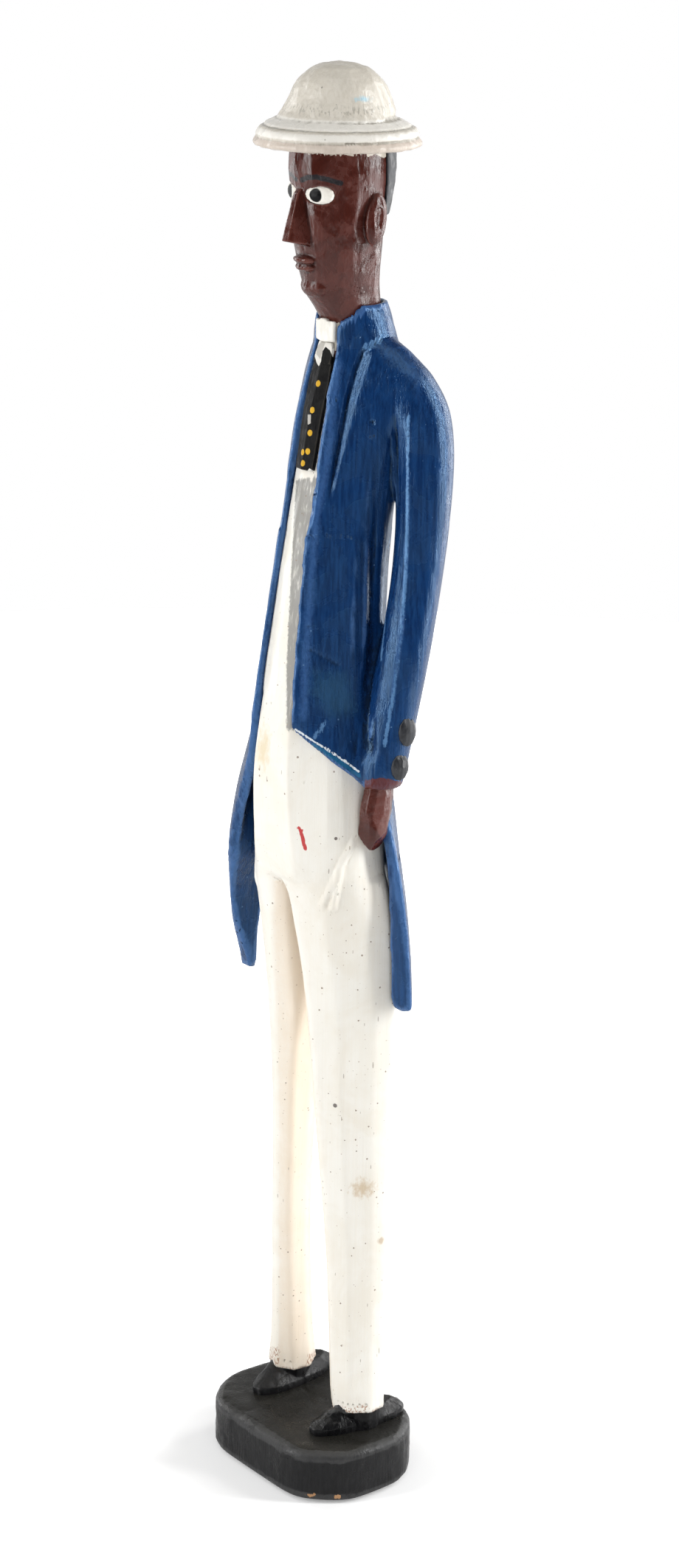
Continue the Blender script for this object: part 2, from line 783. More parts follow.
def coat_paint():
    p = paints()
    paint = Paint("Blue coat paint", p.coat, 0.75)
    brush, wear = paint.brushed(0.03, 0.02, 0.6, 0.9)
    paint.over(brush["Patches"], p.coat_dark, 0.45)
    paint.over(brush["Streaks"], p.coat_light, 0.35)
    paint.over(paint.marked("worn", 0.0, 1.0, 1.1), (0.06, 0.15, 0.38), 0.5)
    paint.over(wear["Rubbed"], (0.09, 0.20, 0.46), 0.7)
    paint.over(paint.marked("scuff", 0.35, 0.8, 1.6), (0.10, 0.22, 0.42), 0.75)
    paint.over(paint.marked("dusty", 0.2, 1.0, 1.4), (0.020, 0.070, 0.13), 0.45)
    paint.over(wear["Grimy"], (0.002, 0.005, 0.016), 0.95)
    paint.speckle(0.0034, 0.2, (0.13, 0.24, 0.42), 0.5)
    paint.over(paint.marked("teal", 0.4, 0.6, 1.3), (0.006, 0.085, 0.19), 0.9)
    paint.over(paint.marked("hem", 0.5, 0.6, 1.2), (0.72, 0.75, 0.76), 0.9)
    paint.over(paint.marked("wrist", 0.4, 0.6, 0.8), (0.095, 0.014, 0.002), 1.0)
    paint.shader.inputs["Specular Tint"].default_value = (0.35, 0.65, 1.0, 1.0)
    return paint.finish((0.17, 0.32), 1.0 * MM, 0.6, (0.006, 0.006, 0.02))


class FIGURE_OT_coat(bpy.types.Operator):
    """Carve the coat with its collar, lapels, tails and sleeves from one block, and paint it blue"""

    bl_idname = "figure.coat"
    bl_label = "Coat"

    def even(self, piece):
        """Takes away the steps of the rough block and rounds the sleeves and the shoulders."""
        points = places(piece.data)
        upright = upright_share(piece)
        even_out(piece, upright, 40, 1.0)
        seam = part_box("coat_collar")[0].z
        for side in ("left", "right"):
            far = from_line(points, centre_line(f"{side}_sleeve"))[0]
            above = share_of(points[:, 2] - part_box(f"{side}_sleeve")[0].z - 2 * MM, 5 * MM)
            even_out(piece, share_of(SLEEVE_REACH - far, 1.5 * MM) * above, 26, 0.0, 0.35 * MM)
        shoulder = share_of(points[:, 2] - seam + 36 * MM, 10 * MM)
        shoulder *= share_of(seam + 1 * MM - points[:, 2], 2 * MM)
        shoulder *= share_of(abs(points[:, 0]) - 15 * MM, 3 * MM)
        even_out(piece, shoulder, 45, 0.0, 0.5 * MM)
        tails = share_of(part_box("trouser_seat")[0].z + 10 * MM - points[:, 2], 8 * MM)
        even_out(piece, tails * (points[:, 1] > 2 * MM), 14, 0.0, 0.35 * MM)
        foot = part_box("left_lapel")[0].z
        near = share_of(2 - abs(points[:, 2] - foot) / (7 * MM)) * (abs(points[:, 0]) < 22 * MM)
        even_out(piece, near * upright, 120, 1.0)

    def execute(self, context):
        c = carving()
        piece = rough_out("blue_coat", COAT_NODES)
        close_skin(piece, 1.0 * MM, 4)
        self.even(piece)
        tree = tree_of(piece)

        def both(*spots):
            line = line_seen(tree, *spots)
            return line, mirrored(tree, line)

        edges = both(
            (452, 484), (446, 520), (441, 560), (436, 600), (428, 640), (418, 700), (413, 750), (409, 800),
            (405, 850), (400, 920), (400, 975),
        )
        old_gouges = both((489, 478), (482, 520), (470, 590), (458, 640), (450, 676))
        gouges = both((494, 470), (482, 500), (471, 540), (463, 584), (452, 640), (445, 684))
        creases = both((536, 548), (535, 590), (537, 640), (538, 690))
        channels = both((516, 610), (511, 700), (507, 780), (505, 860), (503, 940), (500, 1035))
        ridges = both((489, 690), (480, 760), (478, 860), (480, 960))
        arm_ridges = both((553, 565), (553, 640), (551, 760), (545, 850), (539, 900), (530, 960), (521, 1010))
        seams = both((486, 481), (508, 467), (527, 455))
        pockets = both((416, 880), (440, 893), (465, 906))
        nicks = ((492, 477), (500, 473), (507, 469), (514, 465))
        hatches = [line_seen(tree, (u, v), (u + 4, v - 10)) for u, v in nicks]
        points = places(piece.data)
        for line in edges:
            even_out(piece, share_of(1.8 - from_line(points, line)[0] / (3.2 * MM)), 24, 0.0, 0.4 * MM)
        for line in old_gouges:
            even_out(piece, share_of(1.8 - from_line(points, line)[0] / (3 * MM)), 24)
        hem = line_seen(tree, (400, 989), (425, 1005), (452, 1022), (470, 1034), (486, 1046))
        below = line_seen(tree, (400, 993), (425, 1010), (452, 1027), (470, 1039), (486, 1051))
        refine_near(piece, [*gouges, *creases, *seams, *pockets, hem], 3 * MM)
        inward = (4.6 * MM, 1.2 * MM)
        for line, side in zip(gouges, (1, -1)):
            cut_line(piece, line, c.gouge_width, c.gouge_depth, inward, (side, 0.2, 0), (0.06, 0.2))
        cut_lines(piece, channels, 10 * MM, 1.5 * MM, taper=(0.3, 0.05), soft=True)
        cut_lines(piece, ridges, 7 * MM, -0.6 * MM, taper=(0.3, 0.3), soft=True)
        cut_lines(piece, arm_ridges, 6 * MM, -0.55 * MM, taper=(0.12, 0.2), soft=True)
        cut_lines(piece, creases, 3.0 * MM, 1.9 * MM, taper=(0.3, 0.02))
        cut_lines(piece, seams, 2.2 * MM, 0.45 * MM)
        cut_lines(piece, pockets, 3.2 * MM, 0.35 * MM, soft=True)
        cut_lines(piece, hatches, 1.3 * MM, 0.35 * MM)
        dent(piece, seen_at(tree, 505, 573), 1.1 * MM, 1.1 * MM)
        dent(piece, seen_at(tree, 417, 850), 1.2 * MM, 0.4 * MM)
        knife_marks(piece, c.tool_marks)
        thin_out(piece, 192000)
        mark_edges(piece)
        rims = [line_seen(tree, (528, 730), (521, 850), (516, 895)), line_seen(tree, (426, 1000), (440, 980))]
        mark_lines(piece, "scuff", [*hatches, *rims, arm_ridges[0]], 1.6 * MM, 1.2 * MM)
        dust = [(425, 908), (470, 912), (486, 965), (450, 975), (420, 940)]
        mark(piece, "dusty", patch_seen(piece, dust, 30))
        fronts = both(
            (458, 492), (452, 540), (446, 600), (438, 650), (428, 700), (420, 800), (414, 900), (411, 970),
        )
        mark_lines(piece, "worn", fronts, 2.6 * MM, 3.6 * MM)
        mark_lines(piece, "teal", [below], 1.8 * MM, 0.8 * MM)
        mark_lines(piece, "hem", [hem, mirrored(tree, hem)], 0.9 * MM, 0.7 * MM)
        wrist = [(494, 1058), (514, 1055), (528, 1056), (536, 1059), (556, 1059), (556, 1082), (494, 1082)]
        points = places(piece.data)
        on_sleeve = from_line(points, centre_line("left_sleeve"))[0] < SLEEVE_REACH
        on_sleeve &= points[:, 2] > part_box("left_sleeve")[0].z - 1 * MM
        mark(piece, "wrist", patch_seen(piece, wrist, 1.5) * on_sleeve)
        settle(piece, coat_paint(), COAT_NODES)
        return {"FINISHED"}


# Shirt and trousers

WHITE_NODES = ("shirt_front", "trouser_seat", "left_trouser_leg", "right_trouser_leg")


def white_paint(tree):
    p = paints()
    paint = Paint("White trouser paint", p.whites)
    brush, wear = paint.brushed(0.05, 0.03, 0.35, 0.6)
    paint.over(brush["Patches"], (0.72, 0.66, 0.55), 0.4)
    paint.over(brush["Streaks"], p.whites_old, 0.1)
    paint.over(wear["Grimy"], (0.42, 0.33, 0.22), 0.7)
    paint.over(wear["Chipped"], p.wood, 0.7)
    paint.over(paint.marked("inner", 0.1, 0.9, 0.5), (0.74, 0.57, 0.40), 0.4)
    scrubbed = ramp(paint.tree, paint.grain((0.0012, 0.0012, 0.012)), 0.1, 0.5)
    bare = paint.times(paint.marked("bare", 0.3, 0.8, 1.0), scrubbed)
    paint.over(bare, (0.20, 0.195, 0.18), 0.88)
    paint.speckle(0.0038, 0.7, (0.22, 0.15, 0.10), 0.8)
    paint.speckle(0.0027, 0.7, (0.40, 0.31, 0.22), 0.55)
    dust = paint.use(speck_group(), {"Spacing": 0.0021, "Share": 0.7})
    paint.over(paint.times(dust["Specks"], brush["Patches"]), (0.30, 0.22, 0.15), 0.6)
    paint.speckle(0.006, 0.3, (0.24, 0.18, 0.13), 0.6, (0.4, 0.4, 2.0))
    flecks = ramp(paint.tree, paint.grain((0.0007, 0.0007, 0.0012)), 0.5, 0.56)
    frayed = paint.times(paint.marked("frayed", 0.25, 0.7, 0.9), flecks)
    paint.over(frayed, (0.36, 0.19, 0.11), 0.85)
    paint.stain(seen_at(tree, 357, 1015), (6 * MM, 6 * MM, 11 * MM), (0.62, 0.45, 0.16), 0.45, 0.6, 0.8)
    paint.over(paint.marked("fold", 0.2, 0.9, 0.9), (0.30, 0.23, 0.16), 0.6)
    paint.over(paint.marked("blot", 0.4, 0.6, 0.8), (0.50, 0.012, 0.015), 0.95)
    paint.stain(seen_at(tree, 455, 1137), (0.8 * MM, 0.8 * MM, 0.8 * MM), (0.10, 0.07, 0.06), 0.9, 0.1, 0.3)
    paint.stain(seen_at(tree, 454, 1499), (1.1 * MM, 1.1 * MM, 1.1 * MM), (0.10, 0.08, 0.07), 0.9, 0.1, 0.3)
    paint.stain(seen_at(tree, 492, 1612), (6 * MM, 6 * MM, 5 * MM), (0.48, 0.32, 0.14), 0.6, 0.8, 0.8)
    paint.stain(seen_at(tree, 516, 1682), (2 * MM, 2 * MM, 2 * MM), (0.42, 0.28, 0.15), 0.6, 0.5, 0.6)
    return paint.finish((0.3, 0.48), 0.7 * MM, 0.3, (0.006, 0.006, 0.03))


class FIGURE_OT_whites(bpy.types.Operator):
    """Carve the shirt front and the trousers from one block, and paint them white"""

    bl_idname = "figure.whites"
    bl_label = "Shirt and trousers"

    def execute(self, context):
        c = carving()
        piece = rough_out("white_shirt_and_trousers", WHITE_NODES, 0.25 * MM)
        close_skin(piece, 0.8 * MM, 4)
        points = places(piece.data)
        upright = upright_share(piece)
        even_out(piece, upright, 40, 1.0)
        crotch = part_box("trouser_seat")[0].z
        hems = max(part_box(f"{side}_trouser_leg")[0].z for side in ("left", "right"))
        legs = share_of(crotch + 20 * MM - points[:, 2], 10 * MM)
        legs *= share_of(points[:, 2] - hems - 3 * MM, 5 * MM)
        even_out(piece, legs, 16, 0.0, 0.3 * MM)
        near = share_of(1.6 - abs(points[:, 2] - crotch) / (13 * MM))
        even_out(piece, near, 60, 0.0, 0.5 * MM)
        even_out(piece, near * upright, 160, 1.0)
        tree = tree_of(piece)
        pocket = line_seen(tree, (483, 1132), (462, 1173), (433, 1235))
        fork = line_seen(tree, (461, 1176), (456, 1205), (450, 1237))
        lines = [pocket, fork, mirrored(tree, pocket), mirrored(tree, fork)]
        refine_near(piece, lines, 3 * MM)
        for line in lines:
            cut_line(piece, line, 5 * MM, -c.pocket_ridge, soft=True)
            cut_line(piece, line, 1.7 * MM, 0.9 * MM, taper=(0.1, 0.3))
        knife_marks(piece, c.tool_marks * 0.8, 9 * MM, 60 * MM, 0.3)
        thin_out(piece, 170000)
        mark_edges(piece)
        points, facing = places(piece.data), facings(piece.data)
        inner = share_of(-facing[:, 0] * np.sign(points[:, 0]) * 2 - 0.4) * (points[:, 2] < crotch)
        mark(piece, "inner", inner)
        frays = ([(462, 1906), (478, 1908), (497, 1902), (503, 1914), (498, 1930), (474, 1926)],
                 [(360, 1826), (380, 1826), (378, 1860), (358, 1850)],
                 [(416, 1836), (438, 1826), (440, 1856), (414, 1862)])
        frayed = patches_seen(piece, frays, 5) * 0.75
        mark_lines(piece, "fold", lines, 0.5 * MM, 0.6 * MM)
        mark(piece, "frayed", np.maximum(frayed, share_of(hems + 3 * MM - points[:, 2], 3 * MM) * 0.6))
        bare = [(401, 650), (434, 648), (428, 700), (420, 780), (415, 860), (408, 930), (400, 990),
                (388, 990), (388, 900), (392, 820), (396, 740)]
        mark(piece, "bare", patch_seen(piece, bare, 5))
        blot = line_seen(tree, (405, 1123), (409, 1131), (411, 1142), (414, 1151))
        mark_lines(piece, "blot", [blot], 1.5 * MM, 0.8 * MM)
        settle(piece, white_paint(tree_of(piece)), WHITE_NODES)
        return {"FINISHED"}


# Head, hair and eyes

def skin_paint(name, with_brows):
    p = paints()
    paint = Paint(name, p.skin)
    brush, wear = paint.brushed(0.006, 0.009, 0.5, 0.7)
    paint.over(brush["Patches"], p.skin_light, 0.35)
    paint.over(wear["Rubbed"], (0.24, 0.085, 0.065), 0.5)
    paint.over(wear["Grimy"], (0.016, 0.004, 0.003), 0.85)
    paint.over(paint.marked("pale", 0.3, 0.9, 0.8), (0.17, 0.065, 0.055), 0.6)
    if with_brows:
        paint.over(paint.marked("brow", 0.4, 0.6, 0.5), p.charcoal, 0.95)
        paint.over(paint.marked("drips", 0.45, 0.55, 1.7), p.helmet, 0.95)
    return paint.finish((0.18, 0.34), 0.8 * MM, 0.5, (0.0035, 0.0035, 0.006), 0.6)


def charcoal_paint():
    found = bpy.data.materials.get("Charcoal paint")
    if found:
        return found
    p = paints()
    paint = Paint("Charcoal paint", p.charcoal)
    brush, wear = paint.brushed(0.004, 0.006, 0.6, 0.5)
    paint.over(brush["Patches"], (0.045, 0.048, 0.055), 0.6)
    paint.over(wear["Rubbed"], (0.14, 0.15, 0.17), 0.7)
    paint.speckle(0.0022, 0.22, (0.20, 0.21, 0.22), 0.6)
    return paint.finish((0.3, 0.55), 0.4 * MM, 0.5, (0.003, 0.003, 0.005), 0.4)


def eye_paint(centres, radius):
    p = paints()
    paint = Paint("Eye paint", (0.85, 0.83, 0.77), 0.15)
    brush, wear = paint.brushed(0.003, 0.004, 0.3, 0.7)
    paint.over(brush["Patches"], (0.70, 0.65, 0.56), 0.3)
    paint.over(wear["Grimy"], (0.16, 0.09, 0.06), 0.7)
    for centre in centres:
        paint.stain(centre, (radius, radius * 3, radius), p.blacks, 1.0, 0.04, 0.12)
    return paint.finish((0.3, 0.45), 0.2 * MM, 0.3)


class FIGURE_OT_head(bpy.types.Operator):
    """Carve the head with its ears, and paint it red-brown, with brows"""

    bl_idname = "figure.head"
    bl_label = "Head"

    def execute(self, context):
        nodes = ("head", "left_ear", "right_ear")
        piece = rough_out("carved_head", nodes, 0.15 * MM)
        close_skin(piece, 0.42 * MM, 4)
        points = places(piece.data)
        upright = upright_share(piece)
        even_out(piece, upright * (points[:, 1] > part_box("left_ear")[0].y - 3 * MM), 30, 1.0)
        knife_marks(piece, 0.45 * MM, 5 * MM, 8 * MM, 0.2)
        tree = tree_of(piece)
        brows = []
        for side in (1, -1):
            low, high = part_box("left_eye" if side > 0 else "right_eye")
            middle = (low + high) / 2
            arc = []
            for share in (-1.1, -0.5, 0.1, 0.7, 1.2):
                x = middle.x + side * share * (high.x - low.x) / 2
                z = high.z + (3.4 - 1.5 * share * share) * MM
                arc.append(tree.ray_cast(Vector((x, -OUTSIDE, z)), Vector((0, 1, 0)))[0])
            brows.append(arc)
        mark_edges(piece, 10, 0.25 * MM)
        mark_lines(piece, "brow", brows, 2.0 * MM)
        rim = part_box("helmet_brim")[0].z
        runs = ([(404, 190), (424, 190), (421, 208), (408, 207)],
                [(464, 190), (484, 190), (479, 212), (468, 210)],
                [(494, 190), (536, 190), (531, 208), (520, 214), (508, 209), (498, 213)])
        above = share_of(places(piece.data)[:, 2] - rim + 2.6 * MM, 2.6 * MM)
        drips = np.maximum(above, patches_seen(piece, runs, 2))
        neck = [(424, 446), (432, 437), (440, 443), (449, 441), (461, 437), (463, 475), (424, 475)]
        mark(piece, "drips", np.maximum(drips, patch_seen(piece, neck, 2)))
        settle(piece, skin_paint("Brown head paint", True), nodes)
        return {"FINISHED"}


class FIGURE_OT_hair(bpy.types.Operator):
    """Carve the short hair and paint it charcoal"""

    bl_idname = "figure.hair"
    bl_label = "Hair"

    def execute(self, context):
        piece = rough_out("short_hair", ("hair",), 0.05 * MM)
        close_skin(piece, 0.45 * MM, 4)
        knife_marks(piece, 0.5 * MM, 2.4 * MM, 4 * MM, 0.2)
        mark_edges(piece)
        settle(piece, charcoal_paint(), ("hair",))
        return {"FINISHED"}


class FIGURE_OT_eyes(bpy.types.Operator):
    """Carve the two almond eyes and paint them white, each with a black round"""

    bl_idname = "figure.eyes"
    bl_label = "Eyes"

    def execute(self, context):
        c = carving()
        centres = []
        for node in ("left_eye", "right_eye"):
            low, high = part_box(node)
            centres.append((low + high) / 2)
        material = eye_paint(centres, c.iris_radius)
        for node in ("left_eye", "right_eye"):
            piece = rough_out(f"painted_{node}", (node,), 0.05 * MM)
            close_skin(piece, 0.2 * MM, 3)
            mark_edges(piece, 6, 0.15 * MM)
            settle(piece, material, (node,))
        return {"FINISHED"}


# Helmet

def helmet_paint(tree):
    p = paints()
    paint = Paint("Helmet paint", p.helmet)
    brush, wear = paint.brushed(0.008, 0.014, 0.45, 1.0)
    paint.over(brush["Patches"], (0.42, 0.385, 0.325), 0.5)
    paint.over(brush["Streaks"], (0.70, 0.67, 0.61), 0.3)
    paint.over(paint.marked("roll", 0.2, 0.8, 0.8), (0.80, 0.78, 0.73), 0.7)
    strokes = paint.grain((0.0010, 0.0010, 0.009), 3.0, 0.6)
    dabs = paint.times(paint.marked("dabs", 0.1, 0.9), ramp(paint.tree, strokes, 0.52, 0.6))
    paint.over(dabs, (0.27, 0.25, 0.21), 0.6)
    paint.over(wear["Grimy"], (0.24, 0.22, 0.18), 0.8)
    paint.over(paint.marked("groove", 0.3, 0.9, 0.9), (0.20, 0.20, 0.19), 0.6)
    paint.over(paint.marked("rosy", 0.3, 0.8, 1.2), (0.55, 0.38, 0.32), 0.25)
    paint.over(wear["Chipped"], (0.45, 0.36, 0.26), 0.6)
    paint.speckle(0.0036, 0.3, (0.16, 0.15, 0.13), 0.65)
    paint.stain(seen_at(tree, 494, 134), (4.5 * MM, 4.5 * MM, 1.6 * MM), (0.26, 0.50, 0.62), 0.8, 0.9, 0.9)
    return paint.finish((0.22, 0.42), 0.9 * MM, 0.5, (0.005, 0.005, 0.006))


class FIGURE_OT_helmet(bpy.types.Operator):
    """Carve the sun helmet, crown and brim in one, and paint it off-white"""

    bl_idname = "figure.helmet"
    bl_label = "Sun helmet"

    def ring_at(self, tree, z):
        """The level line round the helmet at this height."""
        low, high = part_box("helmet_crown")
        middle = (low + high) / 2
        ring = []
        for i in range(61):
            out = Vector((math.cos(math.tau * i / 60), math.sin(math.tau * i / 60), 0))
            ring.append(tree.ray_cast(Vector((middle.x, middle.y, z)) + out * OUTSIDE, -out)[0])
        return ring

    def execute(self, context):
        nodes = ("helmet_crown", "helmet_brim")
        piece = rough_out("sun_helmet", nodes, 0.2 * MM)
        close_skin(piece, 0.55 * MM, 8)
        tree = tree_of(piece)
        foot, groove, lip = (self.ring_at(tree, seen_at(tree, 455, v).z) for v in (163, 179, 195))
        cuts = ((foot, 4.4 * MM, 1.1 * MM), (groove, 2.4 * MM, 0.5 * MM), (lip, 1.8 * MM, 0.5 * MM))
        for ring, width, depth in cuts:
            cut_line(piece, ring, width, depth, taper=(0.001, 0.001))
        knife_marks(piece, 0.7 * MM, 5 * MM, 6 * MM, 0.1)
        thin_out(piece, 120000)
        mark_edges(piece, 10)
        mark_lines(piece, "groove", [groove], 1.0 * MM, 0.8 * MM)
        points = places(piece.data)
        above = points[:, 2] - foot[0].z
        mark(piece, "dabs", share_of(1 - abs(above - 3 * MM) / (3.4 * MM)))
        below = points[:, 2] - groove[0].z
        roll = np.maximum(1.6 - abs(above + 2 * MM) / (1.6 * MM), 1.4 - abs(below + 2.4 * MM) / (1.4 * MM))
        mark(piece, "roll", share_of(roll))
        mark(piece, "rosy", share_of(lip[0].z - points[:, 2], 1 * MM))
        settle(piece, helmet_paint(tree_of(piece)), nodes)
        return {"FINISHED"}


# Shirt collar and tie

def tie_paint():
    p = paints()
    paint = Paint("Black tie paint", p.blacks, 0.06)
    brush, wear = paint.brushed(0.006, 0.006, 0.5, 0.4)
    paint.over(brush["Patches"], (0.009, 0.009, 0.008), 0.6)
    paint.over(wear["Rubbed"], (0.13, 0.12, 0.10), 0.5)
    paint.over(paint.marked("dots", 0.4, 0.6, 0.35), p.dots, 0.97)
    paint.over(paint.marked("whitened", 0.45, 0.6, 0.5), (0.70, 0.68, 0.63), 0.95)
    paint.over(paint.marked("shaded", 0.3, 0.8, 0.8), (0.25, 0.23, 0.20), 0.6)
    return paint.finish((0.3, 0.5), 0.6 * MM, 0.6, (0.003, 0.003, 0.005))


def collar_paint():
    p = paints()
    paint = Paint("Shirt collar paint", p.whites)
    brush, wear = paint.brushed(0.006, 0.008, 0.4, 0.9)
    paint.over(brush["Patches"], (0.60, 0.57, 0.50), 0.5)
    paint.over(wear["Grimy"], (0.2, 0.17, 0.14), 0.8)
    return paint.finish((0.25, 0.45), 0.5 * MM, 0.4, (0.003, 0.003, 0.006))


class FIGURE_OT_collar_and_tie(bpy.types.Operator):
    """Carve the shirt collar and the knotted tie, and dot the tie with yellow"""

    bl_idname = "figure.collar_and_tie"
    bl_label = "Shirt collar and tie"

    def execute(self, context):
        c = carving()
        collar = rough_out("white_shirt_collar", ("shirt_collar",), 0.15 * MM)
        gap = seen_at(tree_of(collar), 436, 459) + Vector((0, 1.8 * MM, 3.4 * MM))
        bpy.ops.mesh.primitive_cube_add(size=1, location=gap, scale=(4 * MM, 3 * MM, 9 * MM))
        filler = context.object
        pick(collar, filler)
        context.view_layer.objects.active = collar
        bpy.ops.object.join()
        close_skin(collar, 0.45 * MM, 5)
        knife_marks(collar, 0.5 * MM, 4 * MM, 5 * MM, 0.3)
        mark_edges(collar)
        settle(collar, collar_paint(), ("shirt_collar",))
        nodes = ("tie_knot", "tie_blade")
        tie = rough_out("dotted_tie", nodes, 0.2 * MM)
        close_skin(tie, 0.35 * MM, 4)
        tree = tree_of(tie)
        spots = []
        for u, v in ((431, 520), (423, 556), (420, 587), (417, 612), (410, 613), (410, 628)):
            hit = tree.find_nearest(seen_at(tree, u, v))[0]
            spots.append([hit, hit + Vector((0, 0, 0.01 * MM))])
        points = places(tie.data)
        normals = facings(tie.data)
        raised = np.zeros(len(points))
        for spot in spots:
            far = from_line(points, spot)[0]
            raised = np.maximum(raised, share_of(1 - (far / c.dot_radius) ** 2))
        put_places(tie.data, points + normals * (0.25 * MM * raised)[:, None])
        mark_edges(tie, 8, 0.2 * MM)
        mark_lines(tie, "dots", spots, c.dot_radius * 2, 0.3 * MM)
        tips = [(420, 430), (464, 430), (456, 466), (453, 478), (451, 485), (447, 475), (441, 470),
                (437, 476), (435, 490), (432, 497), (429, 492), (425, 479)]
        foot = [(396, 644), (412, 645), (419, 635), (428, 640), (430, 660), (396, 660)]
        chip = [(417, 562), (421, 562), (421, 574), (417, 576)]
        mark(tie, "whitened", patches_seen(tie, (tips, foot, chip), 2.5))
        shades = (chip, [(438, 459), (431, 468), (428, 480), (434, 487), (437, 476), (441, 464)],
                  [(448, 447), (446, 458), (450, 474), (454, 471), (453, 460), (455, 449)])
        mark(tie, "shaded", patches_seen(tie, shades, 3))
        settle(tie, tie_paint(), nodes)
        return {"FINISHED"}


# Hands and buttons

class FIGURE_OT_hands(bpy.types.Operator):
    """Carve the two closed hands and paint them red-brown"""

    bl_idname = "figure.hands"
    bl_label = "Hands"

    def execute(self, context):
        material = skin_paint("Brown hand paint", False)
        for side in ("left", "right"):
            node = f"{side}_hand"
            piece = rough_out(f"{side}_fist", (node,), 0.3 * MM)
            close_skin(piece, 0.42 * MM, 3)
            out = 1 if side == "left" else -1
            facets = (
                ((0.9 * out, -0.42, 0.1), 1.1), ((0.15 * out, -0.98, -0.1), 1.2),
                ((-0.5 * out, -0.63, -0.6), 2.2), ((0.75 * out, 0.3, -0.5), 1.8),
                ((-0.7 * out, -0.6, 0.1), 0.9), ((0.3 * out, -0.2, -0.95), 0.8),
            )
            for facing, depth in facets:
                slice_off(piece, facing, depth * MM)
            even_out(piece, np.ones(len(piece.data.vertices)), 2)
            knife_marks(piece, 0.8 * MM, 5 * MM, 6 * MM, 0.05)
            mark_edges(piece, 8, 0.25 * MM)
            planes = ([(514, 1064), (532, 1072), (526, 1123), (526, 1152), (512, 1130), (504, 1110)],
                      [(490, 1050), (545, 1050), (545, 1068), (500, 1064)])
            mark(piece, "pale", patches_seen(piece, planes, 5))
            settle(piece, material, (node,))
        return {"FINISHED"}


class FIGURE_OT_buttons(bpy.types.Operator):
    """Shape the four oval cuff buttons and paint them charcoal"""

    bl_idname = "figure.buttons"
    bl_label = "Cuff buttons"

    def execute(self, context):
        for side in ("left", "right"):
            for level in ("upper", "lower"):
                node = f"{side}_{level}_cuff_button"
                piece = rough_out(f"{side}_{level}_button", (node,), 0.6 * MM)
                close_skin(piece, 0.25 * MM, 4)
                mark_edges(piece, 6, 0.2 * MM)
                settle(piece, charcoal_paint(), (node,))
        return {"FINISHED"}


# Plinth and shoes

def black_paint(name, chips=()):
    p = paints()
    paint = Paint(name, p.blacks, 0.25)
    brush, wear = paint.brushed(0.012, 0.012, 0.5, 0.6)
    paint.over(brush["Patches"], (0.008, 0.008, 0.009), 0.6)
    paint.over(brush["Streaks"], (0.016, 0.016, 0.017), 0.35)
    paint.over(paint.marked("dusty", 0.0, 1.0, 0.8), (0.020, 0.019, 0.015), 0.6)
    paint.over(wear["Rubbed"], (0.13, 0.13, 0.13), 0.5)
    paint.speckle(0.0055, 0.14, (0.28, 0.27, 0.25), 0.5)
    for chip in chips:
        paint.stain(chip, (1.9 * MM, 1.9 * MM, 1.2 * MM), p.wood, 0.95, 1.2, 0.3)
    return paint.finish((0.27, 0.46), 1.1 * MM, 0.5, (0.006, 0.006, 0.009))


class FIGURE_OT_plinth(bpy.types.Operator):
    """Carve the octagonal plinth and paint it black"""

    bl_idname = "figure.plinth"
    bl_label = "Plinth"

    def execute(self, context):
        piece = rough_out("black_plinth", ("plinth",), 0.2 * MM)
        close_skin(piece, 0.8 * MM, 16)
        low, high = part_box("plinth")
        even_out(piece, np.ones(len(piece.data.vertices)), 160, -1.0)
        points, facing = places(piece.data), facings(piece.data)
        top = share_of(facing[:, 2] * 3 - 1.6)
        middle = np.exp(-((points[:, 0] / (17 * MM)) ** 2) - ((points[:, 1] / (16 * MM)) ** 2))
        shoes = np.zeros(len(points))
        for side in ("left", "right"):
            near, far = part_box(f"{side}_shoe")
            heart = (near + far) / 2
            away = np.hypot((points[:, 0] - heart.x) / (11 * MM), (points[:, 1] - heart.y) / (22 * MM))
            shoes = np.maximum(shoes, np.exp(-(((away - 1) / 0.28) ** 2)))
        put_places(piece.data, points + facing * (top * (0.5 * MM * shoes - 1.3 * MM * middle))[:, None])
        before = places(piece.data)
        knife_marks(piece, 0.8 * MM, 8 * MM, 8 * MM, 0.4)
        lumps = shoes * top
        marked = places(piece.data)
        knife_marks(piece, 1.3 * MM, 2.2 * MM, 2.2 * MM, 0.7)
        moved = marked + (places(piece.data) - marked) * lumps[:, None]
        under = before[:, 2] < low.z + 2 * MM
        moved[under] = before[under]
        moved[:, 2] = np.clip(moved[:, 2], low.z, high.z)
        put_places(piece.data, moved)
        thin_out(piece, 120000)
        mark_edges(piece, 10)
        mark(piece, "dusty", share_of(facings(piece.data)[:, 2] * 2 - 0.9))
        tree = tree_of(piece)
        chips = [seen_at(tree, 420, 2027), seen_at(tree, 457, 2030)]
        settle(piece, black_paint("Black plinth paint", chips), ("plinth",))
        return {"FINISHED"}


